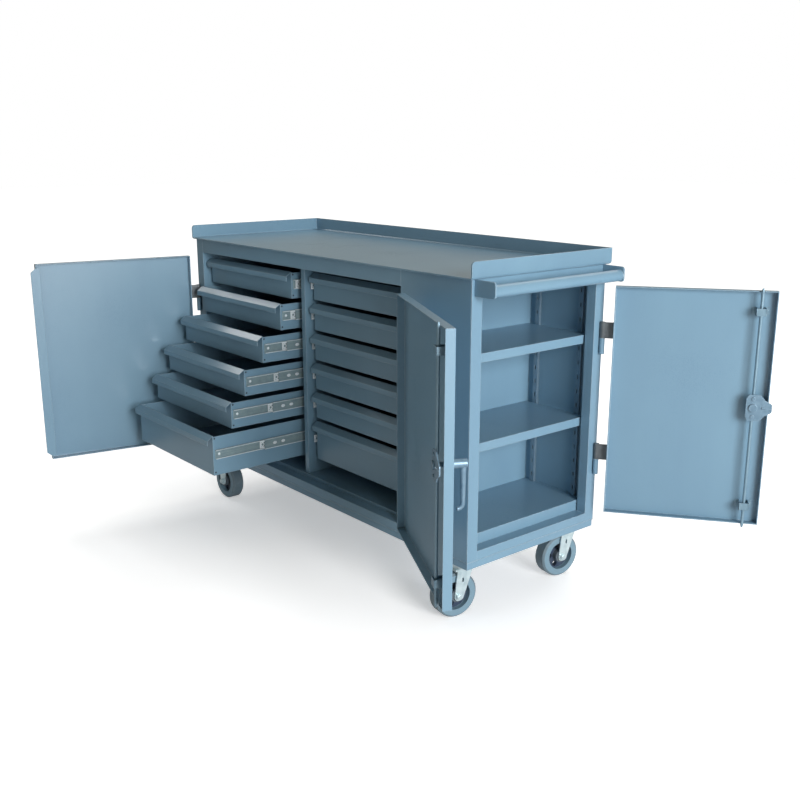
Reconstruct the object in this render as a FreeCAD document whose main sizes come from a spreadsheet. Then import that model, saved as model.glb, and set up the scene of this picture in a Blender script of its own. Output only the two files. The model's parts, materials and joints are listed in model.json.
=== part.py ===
import FreeCAD, Part
import math
import os
import re

import Sketcher

# Maintenance cart: a steel cabinet on casters with two drawer banks behind a pair of doors,
# a shelf compartment behind an end door, a lipped worktop and a push handle.
# Millimetres, +X to the handle end, -Y to the front, +Z up, floor at Z = 0.

doc = FreeCAD.newDocument("MaintenanceCart")

DRIVING = {
    # place of the cabinet's centre in the model
    "cart_x": -191.78,
    "cart_y": 177.47,
    # sheet thicknesses
    "shell_sheet": 3,
    "top_sheet": 5,
    "door_sheet": 3,
    "drawer_sheet": 2,
    "slide_sheet": 1.5,
    # cabinet, along its length
    "post_width": 48,
    "bay_width": 616,
    "mullion_width": 45,
    "strike_width": 22,
    "compartment_width": 325,
    # cabinet, front to back
    "drawer_recess": 84,
    "strike_reach": 32,
    "drawer_depth": 495,
    "rear_space": 22,
    "ledge_depth": 42,
    "end_post_width": 43,
    "jamb_depth": 34,
    "return_depth": 25,
    # cabinet, from the floor up
    "caster_height": 190.5,
    "base_height": 22.5,
    "sill_height": 33,
    "floor_step": 12,
    "space_under_drawers": 55,
    "space_over_drawers": 24,
    "header_height": 53,
    # worktop
    "top_overhang": 13,
    "lip_height": 49,
    "lip_bend": 10,
    "lip_corner": 12,
    # base channels under the cabinet
    "base_inset": 2,
    "base_width": 120,
    # drawers
    "drawer_height": 100,
    "deep_drawer_height": 151,
    "drawer_gap": 13,
    "side_drop": 4,
    "pull_reach": 22,
    "pull_slope": 16,
    "pull_lip": 18,
    # three-member drawer slides
    "slide_width": 13,
    "slide_height": 42,
    "slide_length": 457,
    "slide_setback": 8,
    "slide_rise": 53,
    "deep_slide_rise": 80,
    "slide_air": 0.4,
    "web_air": 0.7,
    "rail_flange": 10,
    "member_flange": 8.8,
    "runner_flange": 8,
    # how far each left drawer is pulled out, from the top one down
    "pulled_one": 52,
    "pulled_two": 104,
    "pulled_three": 186,
    "pulled_four": 268,
    "pulled_five": 328,
    "pulled_six": 410,
    # doors
    "door_flange": 28,
    "door_gap": 4,
    "door_free_gap": 6,
    "door_gap_below": 6,
    "door_gap_above": 12,
    "end_door_free_gap": 13,
    "door_proud": 0.3,
    "door_bend": 2.5,
    "strip_overlap": 15,
    "strip_reach": 20,
    "strip_short": 14,
    "strip_chamfer": 16,
    "left_door_open": 100.5,
    "right_door_open": 152.2,
    "end_door_open": 126.4,
    # lift-off hinges
    "hinge_setback": 36,
    "end_hinge_setback": 32,
    "hinge_inset": 178,
    "knuckle_height": 54,
    "barrel_radius": 9,
    "barrel_air": 0.5,
    "pin_radius": 5,
    "pin_air": 0.1,
    "strap_sheet": 5,
    "strap_overlap": 18,
    "leaf_width": 11,
    # three-point latches
    "latch_inset": 49,
    "latch_rise": 14,
    "spindle_radius": 8,
    "lever_standoff": 47,
    "lever_hub_radius": 13,
    "lever_hub_air": 8,
    "lever_length": 112,
    "lever_top_radius": 9,
    "lever_end_radius": 6.5,
    "lever_curl": 16,
    "cam_sheet": 4,
    "cam_half_height": 43,
    "cam_air": 0.5,
    "tongue_reach": 9,
    "tongue_half_height": 13,
    "pivot_radius": 30,
    "rivet_radius": 6,
    "rivet_height": 3,
    "ridge_radius": 3.8,
    "rod_radius": 5,
    "rod_air": 0.3,
    "rod_gap": 1,
    "rod_reach": 10,
    "rod_taper": 9,
    "guide_inset": 65,
    "guide_width": 26,
    "guide_height": 9,
    "guide_wall": 4,
    # end compartment
    "pan_height": 25,
    "lower_shelf_height": 581,
    "upper_shelf_height": 868,
    "shelf_lip": 29,
    "shelf_air": 1,
    "shelf_setback": 46,
    "standard_width": 20,
    "standard_depth": 10,
    "standard_inset": 40,
    "slot_width": 5,
    "slot_length": 14,
    "slot_pitch": 50,
    "clip_reach": 14,
    "clip_height": 12,
    # push handle
    "handle_radius": 19,
    "handle_wall": 3,
    "handle_reach": 66,
    "handle_drop": 29,
    "bracket_length": 86,
    "bracket_height": 49,
    "bracket_sheet": 5,
    "bracket_inset": 10,
    "bracket_corner": 10,
    # casters
    "wheel_radius": 76.2,
    "wheel_width": 51,
    "wheel_rim": 27,
    "wheel_recess": 18,
    "window_radius": 10,
    "window_ring": 35.5,
    "wheel_round": 6,
    "hub_radius": 22,
    "hub_width": 56,
    "axle_radius": 6.35,
    "axle_air": 0.1,
    "axle_head": 7,
    "axle_head_radius": 11,
    "plate_length": 114,
    "plate_width": 102,
    "rigid_plate_width": 76,
    "plate_sheet": 6,
    "plate_corner": 10,
    "caster_setback": 29,
    "rigid_setback": 56,
    "swivel_turn": -10,
    "caster_lead": 26,
    "leg_sheet": 5,
    "leg_air": 1.5,
    "leg_end_radius": 16,
    "leg_top_width": 58,
    "leg_slot_width": 7,
    "leg_slot_length": 16,
    "leg_slot_rise": 54,
    "crown_sheet": 7,
    "crown_radius": 38,
    "race_radius": 36,
    "race_height": 7.5,
    "swivel_air": 0.3,
    "kingpin_radius": 8,
    "kingpin_head_radius": 12,
    "kingpin_head": 5,
}

# Sizes that follow from the driving ones.
DERIVED = {
    "cabinet_length": "post_width + 2*bay_width + mullion_width + compartment_width",
    "cabinet_depth": "drawer_recess + drawer_depth + rear_space + shell_sheet",
    "left_face": "-cabinet_length/2",
    "right_face": "cabinet_length/2",
    "front_face": "-cabinet_depth/2",
    "rear_face": "cabinet_depth/2",
    "inner_left": "left_face + shell_sheet",
    "inner_right": "right_face - shell_sheet",
    "inner_front": "front_face + shell_sheet",
    "inner_rear": "rear_face - shell_sheet",
    "left_bay": "left_face + post_width",
    "mullion_left": "left_bay + bay_width",
    "right_bay": "mullion_left + mullion_width",
    "opening_right": "right_bay + bay_width",
    "drawer_face": "front_face + drawer_recess",
    "step_face": "front_face + ledge_depth",
    "shell_bottom": "caster_height + base_height",
    "wall_bottom": "shell_bottom + shell_sheet",
    "sill_top": "shell_bottom + sill_height",
    "floor_top": "sill_top + floor_step",
    "stack_bottom": "floor_top + space_under_drawers",
    "drawer_pitch": "drawer_height + drawer_gap",
    "header_bottom": "stack_bottom + deep_drawer_height + 5*drawer_pitch + space_over_drawers",
    "shell_top": "header_bottom + header_height",
    "lip_top": "shell_top + top_sheet + lip_height",
    "drawer_width": "bay_width - 2*slide_width",
    "member_height": "slide_height - 2*slide_sheet - 2*slide_air",
    "runner_height": "member_height - 2*slide_sheet - 2*slide_air",
    "door_bottom": "floor_top + door_gap_below",
    "door_top": "header_bottom - door_gap_above",
    "door_half": "(door_top - door_bottom)/2",
    "door_middle": "(door_top + door_bottom)/2",
    "latch_height": "door_middle + latch_rise",
    "front_door_width": "bay_width - door_gap - door_free_gap",
    "end_opening": "cabinet_depth - 2*end_post_width",
    "end_door_width": "end_opening - door_gap - end_door_free_gap",
    "door_edge": "hinge_setback + door_gap",
    "end_door_edge": "end_hinge_setback + door_gap",
    "pin_standoff": "barrel_radius + barrel_air",
    "door_face": "pin_standoff - door_proud",
    "door_back": "door_face + door_flange",
    "left_pin_x": "left_bay - hinge_setback",
    "right_pin_x": "opening_right + hinge_setback",
    "front_pin_y": "front_face - pin_standoff",
    "end_pin_x": "right_face + pin_standoff",
    "end_pin_y": "end_opening/2 + end_hinge_setback",
    "upper_hinge": "door_top - hinge_inset",
    "lower_hinge": "door_bottom + hinge_inset",
    "strip_edge": "door_edge + front_door_width",
    "strip_low": "door_bottom + strip_short",
    "strip_high": "door_top - strip_short",
    "rod_line": "door_back + rod_gap + rod_radius",
    "cam_face": "rod_line + rod_radius + cam_air",
    "cam_tip": "latch_inset + tongue_reach",
    "lever_line": "door_face - lever_standoff + lever_top_radius",
    "pan_top": "floor_top + pan_height",
    "pan_front": "right_face - ledge_depth",
    "handle_x": "right_face + handle_reach",
    "handle_z": "shell_top - handle_drop",
    "bracket_y": "cabinet_depth/2 - bracket_inset",
    "caster_x": "cabinet_length/2 - base_inset - caster_setback - plate_length/2",
    "caster_y": "cabinet_depth/2 - base_inset - plate_width/2",
    "rigid_x": "cabinet_length/2 - base_inset - rigid_setback - plate_length/2",
    "rigid_y": "cabinet_depth/2 - base_inset - rigid_plate_width/2",
    "plate_bottom": "caster_height - plate_sheet",
    "race_bottom": "plate_bottom - race_height",
    "fork_top": "race_bottom - swivel_air",
    "crown_top": "fork_top - race_height",
    "crown_bottom": "crown_top - crown_sheet",
    "leg_inner": "hub_width/2 + leg_air",
    "leg_outer": "leg_inner + leg_sheet",
}

sheet = doc.addObject("Spreadsheet::Sheet", "Sizes")
for row, (alias, number) in enumerate(DRIVING.items(), start=1):
    sheet.set("A%d" % row, alias.replace("_", " "))
    sheet.set("B%d" % row, str(number))
    sheet.setAlias("B%d" % row, alias)
doc.recompute()


def size(alias):
    return float(getattr(sheet, alias))


def formula(text):
    def spelled(match):
        word = match.group(0)
        if word in DERIVED:
            return "(" + formula(DERIVED[word]) + ")"
        if word in DRIVING:
            return "Sizes." + word
        return word
    return re.sub(r"[A-Za-z_]+", spelled, str(text))


def bind(piece, path, text):
    piece.setExpression(path, formula(text))


def place(piece, at, rotation=None):
    if rotation is not None:
        piece.Placement = FreeCAD.Placement(FreeCAD.Vector(0, 0, 0), rotation)
    for axis, text in zip("xyz", at):
        bind(piece, "Placement.Base." + axis, text)
    return piece


# Shapes that the pieces are made from

SAME_PLACE = 1e-6
FIRST_GUESS = 100
ALONG_X = FreeCAD.Rotation(FreeCAD.Vector(0, 1, 0), 90)
ALONG_Y = FreeCAD.Rotation(FreeCAD.Vector(1, 0, 0), -90)
UPRIGHT = FreeCAD.Rotation()


def block(name, x, y, z):
    piece = doc.addObject("Part::Box", name)
    for side, (low, high) in zip(("Length", "Width", "Height"), (x, y, z)):
        bind(piece, side, "(%s) - (%s)" % (high, low))
    return place(piece, (x[0], y[0], z[0]))


def rod(name, radius, length, at, rotation=UPRIGHT):
    piece = doc.addObject("Part::Cylinder", name)
    bind(piece, "Radius", radius)
    bind(piece, "Height", length)
    return place(piece, at, rotation)


def taper(name, low_radius, high_radius, length, at, rotation=UPRIGHT):
    piece = doc.addObject("Part::Cone", name)
    bind(piece, "Radius1", low_radius)
    bind(piece, "Radius2", high_radius)
    bind(piece, "Height", length)
    return place(piece, at, rotation)


def joined(name, shapes):
    piece = doc.addObject("Part::MultiFuse", name)
    piece.Shapes = shapes
    piece.Refine = True
    return piece


def cut(name, base, tool):
    piece = doc.addObject("Part::Cut", name)
    piece.Base = base
    piece.Tool = tool
    return piece


def rounded(name, base, rules):
    doc.recompute()
    edges = []
    for radius, chosen in rules:
        for number, edge in enumerate(base.Shape.Edges, start=1):
            if chosen(edge, base.Shape.BoundBox):
                edges.append((number, radius, radius))
    piece = doc.addObject("Part::Fillet", name)
    piece.Base = base
    piece.Edges = edges
    return piece


def outline(body, role, points):
    plane = [item for item in body.Origin.OriginFeatures if item.Role == role][0]
    sketch = body.newObject("Sketcher::SketchObject", body.Name + "_outline")
    sketch.AttachmentSupport = [(plane, "")]
    sketch.MapMode = "FlatFace"
    count = len(points)
    ring = []
    for number in range(count):
        angle = 2*math.pi*number/count
        ring.append(FreeCAD.Vector(FIRST_GUESS*math.cos(angle), FIRST_GUESS*math.sin(angle), 0))
    for number in range(count):
        sketch.addGeometry(Part.LineSegment(ring[number], ring[(number + 1) % count]))
    for number in range(count):
        sketch.addConstraint(Sketcher.Constraint("Coincident", number, 2, (number + 1) % count, 1))
    for number, corner in enumerate(points):
        starts = (ring[number].x, ring[number].y)
        for kind, start, text in zip(("DistanceX", "DistanceY"), starts, corner):
            place_of = sketch.addConstraint(Sketcher.Constraint(kind, -1, 1, number, 1, start))
            bind(sketch, "Constraints[%d]" % place_of, text)
    return sketch


PAD_PLANES = {"XY": ("XY_Plane", False), "XZ": ("XZ_Plane", True), "YZ": ("YZ_Plane", False)}


def padded(name, plane, points, length, at=("0", "0", "0")):
    role, reverse = PAD_PLANES[plane]
    body = doc.addObject("PartDesign::Body", name)
    pad = body.newObject("PartDesign::Pad", name + "_pad")
    pad.Profile = outline(body, role, points)
    bind(pad, "Length", length)
    pad.Reversed = reverse
    body.Tip = pad
    return place(body, at)


def softened(body, radius, chosen):
    doc.recompute()
    base = body.Tip
    box = base.Shape.BoundBox
    names = ["Edge%d" % n for n, edge in enumerate(base.Shape.Edges, start=1) if chosen(edge, box)]
    bend = body.newObject("PartDesign::Fillet", body.Name + "_bend")
    bend.Base = (base, names)
    bind(bend, "Radius", radius)
    body.Tip = bend
    return body


def turned(name, points, at=("0", "0", "0")):
    body = doc.addObject("PartDesign::Body", name)
    profile = outline(body, "XY_Plane", points)
    spin = body.newObject("PartDesign::Revolution", name + "_spin")
    spin.Profile = profile
    spin.ReferenceAxis = (profile, ["V_Axis"])
    spin.Angle = 360
    body.Tip = spin
    return place(body, at)


def group(name, pieces, at=("0", "0", "0"), rotation=None):
    piece = doc.addObject("Part::Compound", name)
    piece.Links = pieces
    return place(piece, at, rotation)


def runs_along(edge, axis):
    if len(edge.Vertexes) != 2:
        return False
    step = edge.Vertexes[1].Point - edge.Vertexes[0].Point
    across = [abs(getattr(step, name)) for name in "xyz" if name != axis]
    return max(across) < SAME_PLACE


def at_level(edge, axis, level):
    return abs(getattr(edge.CenterOfMass, axis) - level) < SAME_PLACE


# Sub-parts: each is one node of the assembly

NODES = []


def node(label, pieces, at=("0", "0", "0"), turn=None):
    piece = group(label, pieces)
    piece.Label = label
    if turn is not None:
        piece.Placement.Rotation = FreeCAD.Rotation(FreeCAD.Vector(0, 0, 1), 1)
        bind(piece, "Placement.Rotation.Angle", turn)
    place(piece, ("cart_x + " + at[0], "cart_y + " + at[1], at[2]))
    NODES.append(piece)
    return piece


# Worktop: one sheet with its ends and rear edge bent up, open at the front

SLAB = block(
    "worktop_slab",
    ("left_face - top_overhang", "right_face + top_overhang"),
    ("front_face - top_overhang", "rear_face + top_overhang"),
    ("shell_top", "lip_top"),
)
TRAY = block(
    "worktop_tray",
    ("left_face - top_overhang + top_sheet", "right_face + top_overhang - top_sheet"),
    ("front_face - top_overhang - lip_height", "rear_face + top_overhang - top_sheet"),
    ("shell_top + top_sheet", "lip_top + lip_height"),
)


def outer_bend(edge, box):
    low = at_level(edge, "z", box.ZMin)
    ends = at_level(edge, "x", box.XMin) or at_level(edge, "x", box.XMax)
    rear = at_level(edge, "y", box.YMax)
    return low and (runs_along(edge, "y") and ends or runs_along(edge, "x") and rear)


def inner_bend(edge, box):
    low = at_level(edge, "z", box.ZMin + size("top_sheet"))
    front = at_level(edge, "y", box.YMin)
    return low and not front


def lip_end(edge, box):
    return runs_along(edge, "x") and at_level(edge, "z", box.ZMax) and at_level(edge, "y", box.YMin)


WORKTOP_BENDS = [
    (size("lip_bend"), outer_bend),
    (size("lip_bend") - size("top_sheet"), inner_bend),
    (size("lip_corner"), lip_end),
]
node("worktop", [rounded("worktop_sheet", cut("worktop_folded", SLAB, TRAY), WORKTOP_BENDS)])

# Cabinet shell: folded posts, header and sill, flat panels between them

SHELL_HEIGHT = "shell_top - wall_bottom"
node("left_front_post", [padded("left_front_post_sheet", "XY", [
    ("left_face", "front_face"),
    ("left_bay", "front_face"),
    ("left_bay", "drawer_face"),
    ("left_bay - shell_sheet", "drawer_face"),
    ("left_bay - shell_sheet", "inner_front"),
    ("left_face", "inner_front"),
], SHELL_HEIGHT, ("0", "0", "wall_bottom"))])
node("front_header", [padded("front_header_sheet", "YZ", [
    ("front_face", "header_bottom"),
    ("inner_front + return_depth", "header_bottom"),
    ("inner_front + return_depth", "header_bottom + shell_sheet"),
    ("inner_front", "header_bottom + shell_sheet"),
    ("inner_front", "shell_top"),
    ("front_face", "shell_top"),
], "opening_right - left_bay", ("left_bay", "0", "0"))])
node("front_sill", [padded("front_sill_sheet", "YZ", [
    ("front_face", "wall_bottom"),
    ("inner_front", "wall_bottom"),
    ("inner_front", "sill_top - shell_sheet"),
    ("step_face + shell_sheet", "sill_top - shell_sheet"),
    ("step_face + shell_sheet", "sill_top"),
    ("front_face", "sill_top"),
], "opening_right - left_bay", ("left_bay", "0", "0"))])
node("right_front_panel", [block(
    "right_front_sheet",
    ("opening_right", "inner_right"),
    ("front_face", "inner_front"),
    ("wall_bottom", "shell_top"),
)])
node("left_end_panel", [block(
    "left_end_sheet",
    ("left_face", "inner_left"),
    ("inner_front", "rear_face"),
    ("wall_bottom", "shell_top"),
)])
node("rear_panel", [block(
    "rear_sheet",
    ("inner_left", "inner_right"),
    ("inner_rear", "rear_face"),
    ("wall_bottom", "shell_top"),
)])


# Frame of the end opening: two folded posts, a header and a sill with a ledge

def end_post(name, outer, inner, thickness):
    return padded(name, "XY", [
        ("inner_right", outer),
        ("right_face", outer),
        ("right_face", inner),
        ("inner_right - jamb_depth", inner),
        ("inner_right - jamb_depth", inner + thickness),
        ("inner_right", inner + thickness),
    ], SHELL_HEIGHT, ("0", "0", "wall_bottom"))


END_HEADER = padded("end_header_sheet", "XZ", [
    ("right_face", "header_bottom"),
    ("right_face", "shell_top"),
    ("inner_right", "shell_top"),
    ("inner_right", "header_bottom + shell_sheet"),
    ("inner_right - return_depth", "header_bottom + shell_sheet"),
    ("inner_right - return_depth", "header_bottom"),
], "end_opening", ("0", "-end_opening/2", "0"))
END_SILL = padded("end_sill_sheet", "XZ", [
    ("right_face", "wall_bottom"),
    ("right_face", "sill_top"),
    ("pan_front - shell_sheet", "sill_top"),
    ("pan_front - shell_sheet", "sill_top - shell_sheet"),
    ("inner_right", "sill_top - shell_sheet"),
    ("inner_right", "wall_bottom"),
], "end_opening", ("0", "-end_opening/2", "0"))
node("end_frame", [
    end_post("end_front_post", "front_face", "-end_opening/2", " - shell_sheet"),
    end_post("end_rear_post", "rear_face", "end_opening/2", " + shell_sheet"),
    END_HEADER,
    END_SILL,
])

# Floors: a bottom plate, and a raised bay floor whose front edge is turned down to the ledge

BOTTOM = block(
    "bottom_plate",
    ("left_face", "right_face"),
    ("front_face", "rear_face"),
    ("shell_bottom", "wall_bottom"),
)
BAY_FLOOR = padded("bay_floor", "YZ", [
    ("step_face", "sill_top"),
    ("step_face + shell_sheet", "sill_top"),
    ("step_face + shell_sheet", "floor_top - shell_sheet"),
    ("inner_rear", "floor_top - shell_sheet"),
    ("inner_rear", "floor_top"),
    ("step_face", "floor_top"),
], "opening_right - left_bay", ("left_bay", "0", "0"))
node("cabinet_floors", [BOTTOM, BAY_FLOOR])

# Walls that carry the slides: the left bank's outer wall and the wall to the end compartment

LEFT_WALL = block(
    "left_bank_wall",
    ("left_bay - shell_sheet", "left_bay"),
    ("drawer_face", "inner_rear"),
    ("wall_bottom", "shell_top"),
)
COMPARTMENT_WALL = block(
    "compartment_wall",
    ("opening_right", "opening_right + shell_sheet"),
    ("inner_front", "inner_rear"),
    ("wall_bottom", "shell_top"),
)
node("partition_walls", [LEFT_WALL, COMPARTMENT_WALL])
MULLION = padded("mullion_sheet", "XY", [
    ("mullion_left", "drawer_face"),
    ("right_bay", "drawer_face"),
    ("right_bay", "inner_rear"),
    ("right_bay - shell_sheet", "inner_rear"),
    ("right_bay - shell_sheet", "drawer_face + shell_sheet"),
    ("mullion_left + shell_sheet", "drawer_face + shell_sheet"),
    ("mullion_left + shell_sheet", "inner_rear"),
    ("mullion_left", "inner_rear"),
], "shell_top - floor_top", ("0", "0", "floor_top"))
STRIKE = padded("strike_angle", "XY", [
    ("right_bay", "drawer_face"),
    ("right_bay - shell_sheet", "drawer_face"),
    ("right_bay - shell_sheet", "drawer_face - strike_reach + shell_sheet"),
    ("right_bay - strike_width", "drawer_face - strike_reach + shell_sheet"),
    ("right_bay - strike_width", "drawer_face - strike_reach"),
    ("right_bay", "drawer_face - strike_reach"),
], "header_bottom - floor_top", ("0", "0", "floor_top"))
node("center_mullion", [MULLION, STRIKE])

# Base: two channels under the cabinet, which the casters are fixed to, closed by a strip at each end


def base_channel(name, outer, inner, wall):
    return padded(name, "YZ", [
        (outer, "caster_height"),
        (inner, "caster_height"),
        (inner, "shell_bottom"),
        (inner + " - " + wall, "shell_bottom"),
        (inner + " - " + wall, "caster_height + shell_sheet"),
        (outer + " + " + wall, "caster_height + shell_sheet"),
        (outer + " + " + wall, "shell_bottom"),
        (outer, "shell_bottom"),
    ], "cabinet_length - 2*base_inset - 2*shell_sheet", ("left_face + base_inset + shell_sheet", "0", "0"))


FRONT_CHANNEL = "front_face + base_inset"
REAR_CHANNEL = "rear_face - base_inset"


def base_strip(name, low):
    across = (FRONT_CHANNEL, REAR_CHANNEL)
    return block(name, (low, low + " + shell_sheet"), across, ("caster_height", "shell_bottom"))


node("base_channels", [
    base_channel("front_channel", FRONT_CHANNEL, FRONT_CHANNEL + " + base_width", "shell_sheet"),
    base_channel("rear_channel", REAR_CHANNEL, REAR_CHANNEL + " - base_width", "(-shell_sheet)"),
    base_strip("left_base_strip", "left_face + base_inset"),
    base_strip("right_base_strip", "right_face - base_inset - shell_sheet"),
])

# End compartment: floor pan, two shelves on clips, four slotted standards

PAN = padded("compartment_pan_folded", "XZ", [
    ("opening_right + shell_sheet", "pan_top"),
    ("opening_right + shell_sheet", "pan_top - shell_sheet"),
    ("pan_front - shell_sheet", "pan_top - shell_sheet"),
    ("pan_front - shell_sheet", "sill_top"),
    ("pan_front", "sill_top"),
    ("pan_front", "pan_top"),
], "inner_rear - inner_front", ("0", "inner_front", "0"))
STANDARD_PLACES = (
    "opening_right + shell_sheet + standard_inset",
    "right_face - shelf_setback - standard_inset",
)
NOTCH_HALF = "(standard_width/2 + shelf_air)"
NOTCHES = []
for number, middle in enumerate(STANDARD_PLACES):
    for end, low, high in (
        ("front", "inner_front", "inner_front + standard_depth + shelf_air"),
        ("rear", "inner_rear - standard_depth - shelf_air", "inner_rear"),
    ):
        NOTCHES.append(block(
            "%s_pan_notch_%d" % (end, number),
            (middle + " - " + NOTCH_HALF, middle + " + " + NOTCH_HALF),
            (low, high),
            ("pan_top - shell_sheet", "pan_top"),
        ))
node("compartment_floor", [cut("compartment_pan", PAN, group("pan_notches", NOTCHES))])

SHELF_LEFT = "opening_right + shell_sheet + shelf_air"
SHELF_RIGHT = "right_face - shelf_setback"
SHELF_HALF = "(inner_rear - standard_depth - shelf_air)"


def shelf(name, height):
    return padded(name, "XZ", [
        (SHELF_LEFT, height),
        (SHELF_LEFT, height + " - shelf_lip"),
        (SHELF_LEFT + " + drawer_sheet", height + " - shelf_lip"),
        (SHELF_LEFT + " + drawer_sheet", height + " - drawer_sheet"),
        (SHELF_RIGHT + " - drawer_sheet", height + " - drawer_sheet"),
        (SHELF_RIGHT + " - drawer_sheet", height + " - shelf_lip"),
        (SHELF_RIGHT, height + " - shelf_lip"),
        (SHELF_RIGHT, height),
    ], "2*" + SHELF_HALF, ("0", "-" + SHELF_HALF, "0"))


node("compartment_shelves", [
    shelf("lower_shelf", "lower_shelf_height"),
    shelf("upper_shelf", "upper_shelf_height"),
])

STANDARD_LOW = "pan_top - shell_sheet"


def standard(name, middle, wall, sign):
    face = wall + sign + "standard_depth"
    web = wall + sign + "(standard_depth - slide_sheet)"
    left = middle + " - standard_width/2"
    right = middle + " + standard_width/2"
    bar = padded(name + "_channel", "XY", [
        (left, wall),
        (left, face),
        (right, face),
        (right, wall),
        (right + " - slide_sheet", wall),
        (right + " - slide_sheet", web),
        (left + " + slide_sheet", web),
        (left + " + slide_sheet", wall),
    ], "header_bottom - (%s)" % STANDARD_LOW, ("0", "0", STANDARD_LOW))
    doc.recompute()
    rows = int(bar.Shape.BoundBox.ZLength // size("slot_pitch"))
    slots = []
    for row in range(rows):
        low = STANDARD_LOW + " + %d*slot_pitch + slot_pitch/2" % row
        slots.append(block(
            "%s_slot_%d" % (name, row),
            (middle + " - slot_width/2", middle + " + slot_width/2"),
            (wall, face) if sign == " + " else (face, wall),
            (low, low + " + slot_length"),
        ))
    return cut(name, bar, group(name + "_slots", slots))


STANDARDS = []
CLIPS = []
for side, wall, sign in (("front", "inner_front", " + "), ("rear", "inner_rear", " - ")):
    face = wall + sign + "standard_depth"
    reach = face + sign + "clip_reach"
    for number, middle in enumerate(STANDARD_PLACES):
        STANDARDS.append(standard("%s_standard_%d" % (side, number), middle, wall, sign))
        for level in ("lower_shelf_height", "upper_shelf_height"):
            CLIPS.append(block(
                "%s_clip_%d_%s" % (side, number, level.split("_")[0]),
                (middle + " - standard_width/4", middle + " + standard_width/4"),
                (face, reach) if sign == " + " else (reach, face),
                (level + " - drawer_sheet - clip_height", level + " - drawer_sheet"),
            ))
node("shelf_standards", STANDARDS + CLIPS)

# Push handle: a tube between two bracket plates on the end face


def bracket(name, low):
    plate = padded(name, "XZ", [
        ("right_face", "shell_top - bracket_height"),
        ("right_face + bracket_length", "shell_top - bracket_height"),
        ("right_face + bracket_length", "shell_top"),
        ("right_face", "shell_top"),
    ], "bracket_sheet", ("0", low, "0"))
    return softened(plate, "bracket_corner", lambda edge, box: (
        runs_along(edge, "y") and at_level(edge, "x", box.XMax)))


TUBE_LENGTH = "2*bracket_y - 2*bracket_sheet"
TUBE_AT = ("handle_x", "-bracket_y + bracket_sheet", "handle_z")
TUBE = cut(
    "handle_tube",
    rod("handle_tube_outside", "handle_radius", TUBE_LENGTH, TUBE_AT, ALONG_Y),
    rod("handle_tube_bore", "handle_radius - handle_wall", TUBE_LENGTH, TUBE_AT, ALONG_Y),
)
node("push_handle", [
    TUBE,
    bracket("front_bracket", "-bracket_y"),
    bracket("rear_bracket", "bracket_y - bracket_sheet"),
])

# Hinges: the upper knuckle and its strap belong to the door, the lower knuckle and its pin to the post.
# Each is drawn about its pin, for a door that runs towards +x (side 1) or -x (side -1).


def span(side, near, far):
    return (near, far) if side > 0 else ("-(%s)" % far, "-(%s)" % near)


def door_leaf(name, side, edge, height):
    barrel = rod(name + "_barrel", "barrel_radius", "knuckle_height", ("0", "0", height))
    strap = block(
        name + "_strap",
        span(side, "0", edge + " + strap_overlap"),
        ("door_face - strap_sheet", "door_face"),
        (height, height + " + knuckle_height"),
    )
    bore = rod(name + "_bore", "pin_radius + pin_air", "knuckle_height", ("0", "0", height))
    return cut(name, joined(name + "_welded", [barrel, strap]), bore)


def post_leaf(name, side, height):
    low = height + " - knuckle_height - barrel_air"
    barrel = rod(name + "_barrel", "barrel_radius", "knuckle_height", ("0", "0", low))
    leaf = block(
        name + "_leaf",
        span(-side, "0", "leaf_width"),
        ("pin_standoff - strap_sheet", "pin_standoff"),
        (low, low + " + knuckle_height"),
    )
    pin = rod(name + "_pin", "pin_radius", "2*knuckle_height", ("0", "0", low))
    return joined(name, [barrel, leaf, pin])


DOOR_LEAVES = {}
POST_LEAVES = {}
for hand, side, edge in (("left", 1, "door_edge"), ("right", -1, "door_edge"), ("end", -1, "end_door_edge")):
    DOOR_LEAVES[hand] = []
    POST_LEAVES[hand] = []
    for level, height in (("upper", "upper_hinge"), ("lower", "lower_hinge")):
        DOOR_LEAVES[hand].append(door_leaf("%s_%s_leaf" % (hand, level), side, edge, height))
        POST_LEAVES[hand].append(post_leaf("%s_%s_knuckle" % (hand, level), side, height))

QUARTER_TURN = FreeCAD.Rotation(FreeCAD.Vector(0, 0, 1), 90)
node("post_hinges", [
    group("left_post_hinges", POST_LEAVES["left"], ("left_pin_x", "front_pin_y", "0")),
    group("right_post_hinges", POST_LEAVES["right"], ("right_pin_x", "front_pin_y", "0")),
    group("end_post_hinges", POST_LEAVES["end"], ("end_pin_x", "end_pin_y", "0"), QUARTER_TURN),
])

# Doors: sheet pans with flanges turned inwards, drawn closed about their hinge pins


def door_pan(name, side, edge, width, latched):
    far = edge + " + " + width
    pan = cut(
        name + "_folded",
        block(
            name + "_slab",
            span(side, edge, far),
            ("door_face", "door_back"),
            ("door_bottom", "door_top"),
        ),
        block(
            name + "_hollow",
            span(side, edge + " + door_sheet", far + " - door_sheet"),
            ("door_face + door_sheet", "door_back + door_sheet"),
            ("door_bottom + door_sheet", "door_top - door_sheet"),
        ),
    )
    if latched:
        pan = cut(name + "_drilled", pan, rod(
            name + "_spindle_hole", "spindle_radius + pin_air", "door_flange",
            ("-(%s - latch_inset)" % far, "door_face - door_sheet", "latch_height"), ALONG_Y))
    return rounded(name + "_pan", pan, [(size("door_bend"), lambda edge, box: (
        at_level(edge, "y", box.YMin) and not edge.Closed))])


def rod_guide(name, height):
    low = height + " - guide_height/2"
    plate = block(
        name + "_block",
        ("-guide_width/2", "guide_width/2"),
        ("door_face + door_sheet", "rod_line + rod_radius + guide_wall"),
        (low, low + " + guide_height"),
    )
    hole = rod(name + "_hole", "rod_radius + rod_air", "guide_height", ("0", "rod_line", low))
    return cut(name, plate, hole)


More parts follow.
